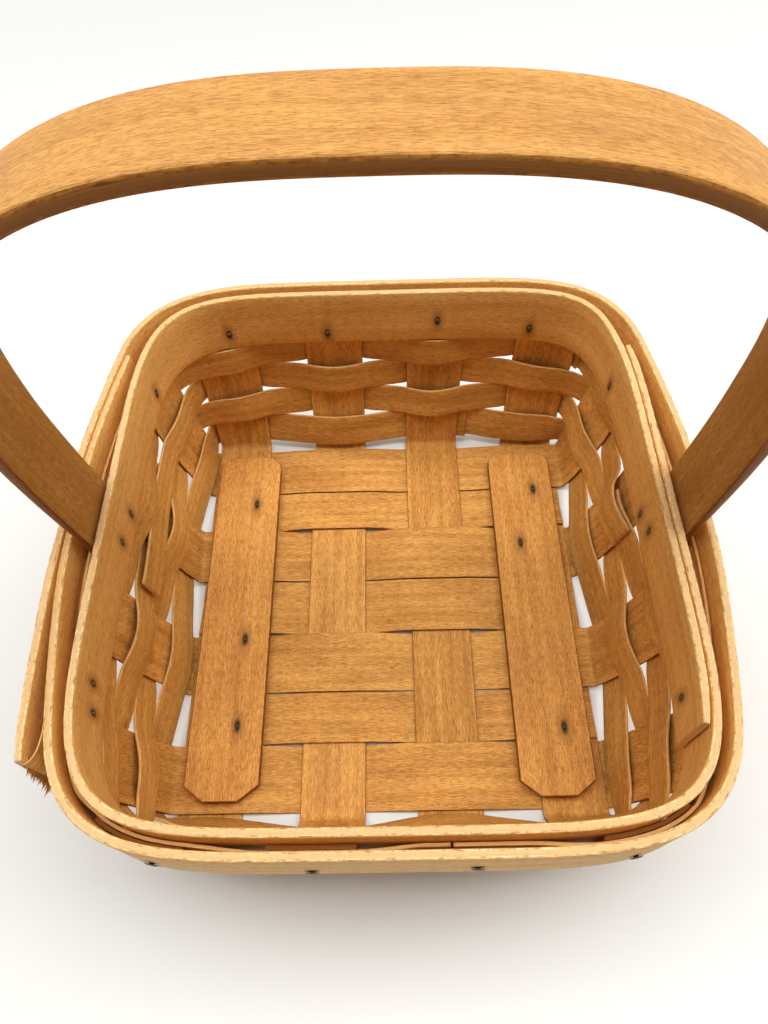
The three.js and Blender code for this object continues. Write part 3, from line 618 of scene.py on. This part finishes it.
def filler(name, side):
    """A flat strip in the bottom only, in the gap between two rows, or in the middle one."""
    centre = side * OUTER_FILLER
    room = OUTER_ROW - INNER_ROW if side else 2 * INNER_ROW
    width = room - STAKE_WIDTH - 2 * FILLER_GAP
    stops, full = across_stops(width, 9, SPLINT_BEVEL)
    x = np.linspace(-1, 1, 160)[:, None] * (OUTER_COLUMN + HALF - CLEARANCE) + 0 * stops
    y = centre + stops * width / 2 + 0 * x
    grid = np.stack([x, y, row_height(centre, x, y)], -1)
    strip(name, grid, THICKNESS / 2 * full, [SPLINT, SHADED_EDGE], 0.5)


def weaver(
    name, bottom, height, parity, bow, start, end,
    over=NEVER, under=-NEVER, held=NEVER, reach=EDGE, tone=0.5,
):
    """One weaver round the wall between two steps of the ring. From over on it lies outside its
    own start, up to under inside another's end, and from held on it stays inside and springs."""
    step = np.linspace(start, end, int((end - start) * WEAVER_POINTS))[:, None]
    stops, full = across_stops(height, 7, WEAVER_BEVEL)
    wander = noise(len(step), 26, WANDER)[:, None]
    z = bottom + height * (stops[None, :] + 1) / 2 + wander
    bows = bow * (1 + noise(len(step), 14, BOW_SPREAD)[:, None])
    x, y, offset = weave(step, z, parity, bows, reach)
    # A lap eases in or out within a quarter of a step
    lapped = ease(ramp(step, over - 0.26, over - 0.02)) - 1 + ease(ramp(step, under, under + 0.25))
    spring = -EDGE - WEAVER_SPRING * ease(ramp(step, held + 1 - SHARE, end))
    offset = np.where(step > held, spring, offset + STEP * lapped)
    grid = off_wall(x, y, z, offset)
    strip(name, grid, THICKNESS / 2 * full, [WEAVER, SPLINT_EDGE], tone)


def band(name, face, lap_end, tone):
    """One rim band on the weave's inner face (-1) or outer face (1): once round the wall by its
    angle in radians, then on over its own start, one layer further off. The outer band's end
    stands off, and its covered start is painted darker, as shade under the lap. Both ends are
    cut thinner."""
    outer = face > 0
    full_turn = 2 * np.pi
    start = math.atan2(LAP_START, -face * RIM_X)
    end = full_turn + math.atan2(LAP_START, RIM_X) + math.atan2(lap_end, RIM_X)
    run = np.linspace(0, end, BAND_POINTS)[:, None]
    stops, full = across_stops(BAND_HEIGHT, 5, BAND_BEVEL)
    z = BAND_BOTTOM + BAND_HEIGHT * (stops[None, :] + 1) / 2
    angle = start + face * run
    x, y = spot_towards(np.cos(angle), np.sin(angle), z)
    lapped = ease(ramp(run, full_turn - LAP_EASE / RIM_X, full_turn - 0.02))
    free = np.where(run > (full_turn + end) / 2, outer * loose_at(y), 0)
    offset = face * (BAND_FACE + BAND_THICKNESS / 2 + lapped * BAND_LAYER + free)
    grid = off_wall(x, y, z, offset, outer)
    near = np.minimum(run, end - run) * RIM_X / SKIVE
    half = BAND_THICKNESS / 2 * mix(SKIVE_SHARE, 1, clip(near)) * full
    # Painted shade: the outer face of the outer band's start, under the loose end, is darker
    covered = outer * ease(ramp(end - full_turn - run, -0.01, 0.06))
    strip(name, grid, half, [BAND_WOOD, BOARD_EDGE], (tone - 0.5 * covered, tone))


# Where the loose end of the outer band stops, from the middle to the front
LOOSE_EDGE = -spot_towards(-RIM_X, -LOOSE_END, RIM_HEIGHT)[1]


def loose_spot(y, z, across):
    """A point of the outer band's loose layer, across its thickness from its middle."""
    spot = spot_above(False, y, -1, z)
    middle = BAND_FACE + BAND_THICKNESS / 2 + BAND_LAYER + loose_at(y)
    return off_wall(*spot, z, middle + across)


def peeled_curl():
    """A thin sliver peeled off the loose end's inner face. Its place along the wall goes with
    a power of the run, and its offset eases from the loose layer to the layer below."""
    t = np.linspace(0, 1, 60)[:, None]
    stops, full = across_stops(CURL_WIDTH, 5, 0.12)
    z = RIM_HEIGHT - CURL_DROP - CURL_WIDTH / 2 * (1 - stops[None, :]) + 0 * t
    place = -LOOSE_EDGE - 0.3 + CURL_LENGTH * t**CURL_POWER
    high = BAND_FACE + BAND_LAYER + loose_at(-LOOSE_EDGE) + 0.3
    low = BAND_FACE + BAND_THICKNESS + 0.35
    offset = mix(high, low, 1 - (1 - t) ** CURL_POWER) + 0.25 * np.sin(5 * t + stops[None, :])
    x, y = spot_above(False, place, -1, z)
    grid = off_wall(x, y, z, offset)
    half = CURL_THICKNESS / 2 * full
    strip("peeled_curl", grid, half, [SPLINT, SPLINT_EDGE], 0.35, replaces=False)


def torn_fibres():
    """Fibres torn from the loose end, each a thin three-sided point, longer at the lower edge."""
    points, faces = [], []
    for i in range(FIBRE_COUNT):
        low = rng.random() ** 1.6
        z = BAND_BOTTOM + 0.3 + FIBRE_REACH * low
        across = rng.uniform(-0.8, 0.35)
        root = loose_spot(-LOOSE_EDGE + 0.9, z, across)
        way = loose_spot(-LOOSE_EDGE, z, across) - loose_spot(-LOOSE_EDGE + 1, z, across)
        way = way + rng.normal(0, 0.45, 3) * [0.7, 0.5, 1]
        way /= np.linalg.norm(way)
        side = np.cross(way, rng.normal(size=3))
        side /= np.linalg.norm(side)
        other = np.cross(way, side)
        thick = rng.uniform(0.3, 0.8)
        for turn in (0, 2.1, 4.2):
            points.append(root + thick * (math.cos(turn) * side + math.sin(turn) * other))
        points.append(root + way * rng.uniform(1.6, 3.0) * (1.7 - low))
        a = 4 * i
        faces += [[a, a + 2, a + 1], [a, a + 1, a + 3], [a + 1, a + 2, a + 3], [a + 2, a, a + 3]]
    points = np.array(points)
    uv = points[:, [1, 2]] + 500
    thing = mesh("torn_fibres", points, faces, [SPLINT], uv, None, range(len(faces)), 0.1)
    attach(thing, "root")


def handle():
    """The bent handle: two legs below the spring, and above it the superellipse arch
    x = a |cos t|^(2/n), z = spring + rise |sin t|^(2/n), with even steps along the whole."""
    run = np.linspace(0, 3, 700)
    t = np.pi * (2 - np.clip(run, 1, 2))
    arch_x = HANDLE_SPAN / 2 * np.sign(np.cos(t)) * np.abs(np.cos(t)) ** (2 / HANDLE_SQUARENESS)
    arch_z = SPRING_HEIGHT + HANDLE_RISE * np.abs(np.sin(t)) ** (2 / HANDLE_SQUARENESS)
    leg_z = mix(HANDLE_BOTTOM, SPRING_HEIGHT, np.where(run < 1, run, 3 - run))
    leg_x = np.sign(run - 1.5) * handle_middle(leg_z) + side_shift(leg_z)
    on_leg = (run < 1) | (run > 2)
    x, z = np.where(on_leg, leg_x, arch_x), np.where(on_leg, leg_z, arch_z)
    length = running(np.hypot(np.diff(x), np.diff(z)))
    even = np.linspace(0, length[-1], 520)
    x, z = np.interp(even, length, x), np.interp(even, length, z)
    climb = ramp(z, RIM_HEIGHT, SPRING_HEIGHT + HANDLE_RISE)
    stops, full = across_stops(HANDLE_CROWN, 9, HANDLE_BEVEL)
    y = mix(HANDLE_END, HANDLE_CROWN, climb)[:, None] / 2 * stops[None, :]
    grid = np.stack([x[:, None] + 0 * y, y, z[:, None] + 0 * y], -1)
    half = handle_half(z)[:, None] * full
    # The face under the arch and inside the legs gets tone 0.1: painted shade
    strip("handle", grid, half, [BOARD, SHADED_HANDLE_EDGE], (0.55, 0.1))


def cleat(name, centre, tone):
    """A flat board: its outline with cut front corners and quarter-round back corners, at two
    heights."""
    left, right = centre - CLEAT_WIDTH / 2, centre + CLEAT_WIDTH / 2
    turn = np.linspace(0, np.pi / 2, 10)
    round_x = CLEAT_ROUND * (np.cos(turn) - 1)
    round_y = CLEAT_ROUND * (np.sin(turn) - 1) + CLEAT_BACK
    cut = CLEAT_CUT_LENGTH - CLEAT_FRONT
    front = [[left + CLEAT_CUT_WIDTH, -CLEAT_FRONT], [right - CLEAT_CUT_WIDTH, -CLEAT_FRONT]]
    right_corner = np.column_stack([right + round_x, round_y])
    left_corner = np.column_stack([left - round_x, round_y])[::-1]
    outline = np.concatenate([front, [[right, cut]], right_corner, left_corner, [[left, cut]]])
    count = len(outline)
    low = np.column_stack([outline, np.full(count, CLEAT_BOTTOM)])
    high = np.column_stack([outline, np.full(count, CLEAT_TOP)])
    points = np.concatenate([low, high])
    faces = [list(range(count))[::-1], list(range(count, 2 * count))]
    faces += [[i, (i + 1) % count, (i + 1) % count + count, i + count] for i in range(count)]
    uv = points[:, [1, 0]] + rng.uniform(0, GRAIN_FIELD, 2)
    uv[:, 1] += points[:, 2]
    slots = np.array([0, 0] + [1] * count, np.int32)
    materials = [CLEAT_WOOD, SHADED_EDGE]
    thing = mesh(name, points, faces, materials, uv, slots, range(len(faces)), tone)
    bevel = thing.modifiers.new("soft edges", "BEVEL")
    bevel.width, bevel.segments, bevel.harden_normals = 0.5 * MM, 3, True
    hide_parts(name)
    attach(thing, "root")


def tack(name, seat, direction, length):
    """A wire tack turned about its line: domed head at the seat, shank, and short point. The
    profile is radius and distance along the line, and its first and last points are poles."""
    head = [(0, -TACK_HEAD_HEIGHT), (1.1, -0.3), (1.55, -0.1), (TACK_HEAD_RADIUS, 0)]
    shank = [(TACK_RADIUS, 0.02), (TACK_RADIUS, length - 0.5), (0.42, length - 0.15), (0, length)]
    radius, along = np.array(head + shank).T
    other = np.cross(direction, [0.3, 0.5, 0.8])
    other /= np.linalg.norm(other)
    third = np.cross(direction, other)
    sides = 20
    turn = (np.arange(sides) * 2 * np.pi / sides)[:, None]
    ring = np.cos(turn) * other + np.sin(turn) * third
    line = seat + direction * along[:, None]
    rings = (line[1:-1, None] + ring * radius[1:-1, None, None]).reshape(-1, 3)
    points = np.concatenate([rings, line[[0, -1]]])

    i = np.arange(sides)
    j = (i + 1) % sides
    base = np.arange(len(radius) - 3)[:, None] * sides
    quads = np.stack([base + i, base + j, base + j + sides, base + i + sides], -1)
    last = len(rings) - sides
    top, bottom = np.full(sides, len(rings)), np.full(sides, len(rings) + 1)
    faces = quads.reshape(-1, 4).tolist()
    faces += np.column_stack([top, j, i]).tolist()
    faces += np.column_stack([bottom, last + i, last + j]).tolist()
    thing = mesh(name, points, faces, [STEEL])
    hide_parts(name)
    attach(thing, "root")


for i, tone in enumerate([0.45, 0.6, 0.35, 0.5]):
    stake(f"stake_front_back_{i + 1}", True, i, *COLUMNS[i], tone)
for i, tone in enumerate([0.5, 0.58, 0.42, 0.5]):
    stake(f"stake_left_right_{i + 1}", False, i, ROWS[i], 0, tone)
for i, side in enumerate([-1, 0, 1]):
    filler(f"filler_{i + 1}", side)

# Rounds lap over their own start. The third weaver is two strips.
b1, b2, b3, b4 = [FIRST_BOTTOM] + [SIDE_BOTTOM + i * (SIDE_HEIGHT + WEAVER_GAP) for i in range(3)]
weaver("weaver_1", b1, FIRST_HEIGHT, 1, FIRST_BOW, 4.92, 21.68, over=20.92, tone=0.45)
weaver("weaver_2", b2, SIDE_HEIGHT, -1, WEAVER_BOW, 11.92, 28.68, over=27.92)
back_strip = {"start": 1.97, "end": 9.92, "under": 2.42, "held": 8.6, "tone": 0.52}
weaver("weaver_3_back", b3, SIDE_HEIGHT, 1, WEAVER_BOW, **back_strip)
weaver("weaver_3_front", b3, SIDE_HEIGHT, 1, WEAVER_BOW, 8.82, 18.4, tone=0.47)
weaver("weaver_4", b4, SIDE_HEIGHT, -1, WEAVER_BOW, 3.92, 20.68, over=19.92)
rim_strip = {"start": 14.15, "end": 30.13, "reach": RIM_OFFSET}
weaver("weaver_rim", RIM_WEAVER_BOTTOM, RIM_WEAVER_HEIGHT, 1, 0.0, **rim_strip)
band("rim_band_inner", -1, INNER_END, 0.52)
band("rim_band_outer", 1, LOOSE_END, 0.5)
peeled_curl()
torn_fibres()
handle()
cleat("cleat_left", LEFT_CLEAT, 0.5)
cleat("cleat_right", RIGHT_CLEAT, 0.48)
for name, placed in TACKS.items():
    tack(name, *placed)


def seen_ray(tree):
    """1 for rays that show the background: from the camera, from gloss and through glass."""
    path = add(tree, "ShaderNodeLightPath").outputs
    seen = path["Is Camera Ray"]
    for ray in ("Is Glossy Ray", "Is Transmission Ray"):
        inputs = {0: seen, 1: path[ray]}
        seen = add(tree, "ShaderNodeMath", inputs, operation="MAXIMUM").outputs[0]
    return seen


def white_table():
    """A pale tabletop that turns white to the camera between 0.3 and 0.7 m from its middle."""
    table = plain("white table", "ECECE8", 0.7)
    tree = table.node_tree
    place = add(tree, "ShaderNodeTexCoord").outputs["Object"]
    away = add(tree, "ShaderNodeVectorMath", {0: place}, operation="LENGTH").outputs["Value"]
    inputs = {0: away, 1: 0.3, 2: 0.7}
    fade = add(tree, "ShaderNodeMapRange", inputs, interpolation_type="SMOOTHSTEP").outputs[0]
    inputs = {0: fade, 1: seen_ray(tree)}
    cover = add(tree, "ShaderNodeMath", inputs, operation="MULTIPLY").outputs[0]
    inputs = {"Color": linear("FFFFFF"), "Strength": 1.0}
    white = add(tree, "ShaderNodeEmission", inputs).outputs[0]
    lit = tree.nodes["Principled BSDF"].outputs[0]
    both = add(tree, "ShaderNodeMixShader", {0: cover, 1: lit, 2: white}).outputs[0]
    tree.links.new(both, tree.nodes["Material Output"].inputs["Surface"])
    return table


# Pale floor, 6 m square
floor_data = bpy.data.meshes.new("floor")
floor_data.from_pydata([(-3, -3, 0), (3, -3, 0), (3, 3, 0), (-3, 3, 0)], [], [[0, 1, 2, 3]])
floor_data.materials.append(white_table())
floor = bpy.data.objects.new("floor", floor_data)
bpy.context.scene.collection.objects.link(floor)


def area_light(name, place, size, power):
    """A soft white rectangle at a place in metres, aimed at the basket's middle, with its power
    in watts."""
    data = bpy.data.lights.new(name, "AREA")
    data.shape, data.size, data.size_y = "RECTANGLE", size[0], size[1]
    data.energy = power
    aim = np.array(place) - [0, 0, 0.05]
    aim /= np.linalg.norm(aim)
    right = np.cross([0, 1, 0.01], aim)
    right /= np.linalg.norm(right)
    turn = Matrix(np.column_stack([right, np.cross(aim, right), aim]).tolist()).to_4x4()
    light = bpy.data.objects.new(name, data)
    light.matrix_world = Matrix.Translation(place) @ turn
    bpy.context.scene.collection.objects.link(light)


# A long strip of daylight over the basket, and a softer light higher up
area_light("window", (0.1, 0.12, 0.84), (3.0, 0.45), 18)
area_light("ceiling", (0, 0.1, 1.5), (1.5, 1.5), 4.2)

# Dim white all round, and full white where the camera sees it
world = bpy.data.worlds.new("studio")
bpy.context.scene.world = world
world.use_nodes = True
tree = world.node_tree
tree.nodes.clear()
strength = add(tree, "ShaderNodeMapRange", {0: seen_ray(tree), 3: 0.155, 4: 1.0}).outputs[0]
sky = add(tree, "ShaderNodeBackground", {"Color": linear("FFFFFF"), "Strength": strength})
add(tree, "ShaderNodeOutputWorld", {"Surface": sky.outputs[0]})

# The photograph's camera, with its place in the basket's millimetres and its focal length in
# pixels of a picture 1024 pixels high
CAMERA_PLACE = np.array([1.9, -89.7, 221.9])
FOCAL_LENGTH, PICTURE_HEIGHT = 700, 1024
TILT, YAW, ROLL = math.radians(60.24), math.radians(-1.33), math.radians(-2.39)
flat_forward = np.array([math.sin(YAW), math.cos(YAW), 0])
forward = math.cos(TILT) * flat_forward - [0, 0, math.sin(TILT)]
right = np.array([math.cos(YAW), -math.sin(YAW), 0])
up = np.cross(right, forward)
right_rolled = math.cos(ROLL) * right + math.sin(ROLL) * up
up_rolled = math.cos(ROLL) * up - math.sin(ROLL) * right
lens = bpy.data.cameras.new("photo camera")
lens.sensor_fit = "VERTICAL"
lens.sensor_height = 36
lens.lens = FOCAL_LENGTH / PICTURE_HEIGHT * lens.sensor_height
lens.clip_start = 0.01
camera = bpy.data.objects.new("photo camera", lens)
turn = Matrix(np.column_stack([right_rolled, up_rolled, -forward]).tolist()).to_4x4()
place = (CAMERA_PLACE + SHIFT) * MM
camera.matrix_world = Matrix.Translation(place.tolist()) @ turn
bpy.context.scene.collection.objects.link(camera)
bpy.context.scene.camera = camera
bpy.context.scene.view_settings.view_transform = "Standard"
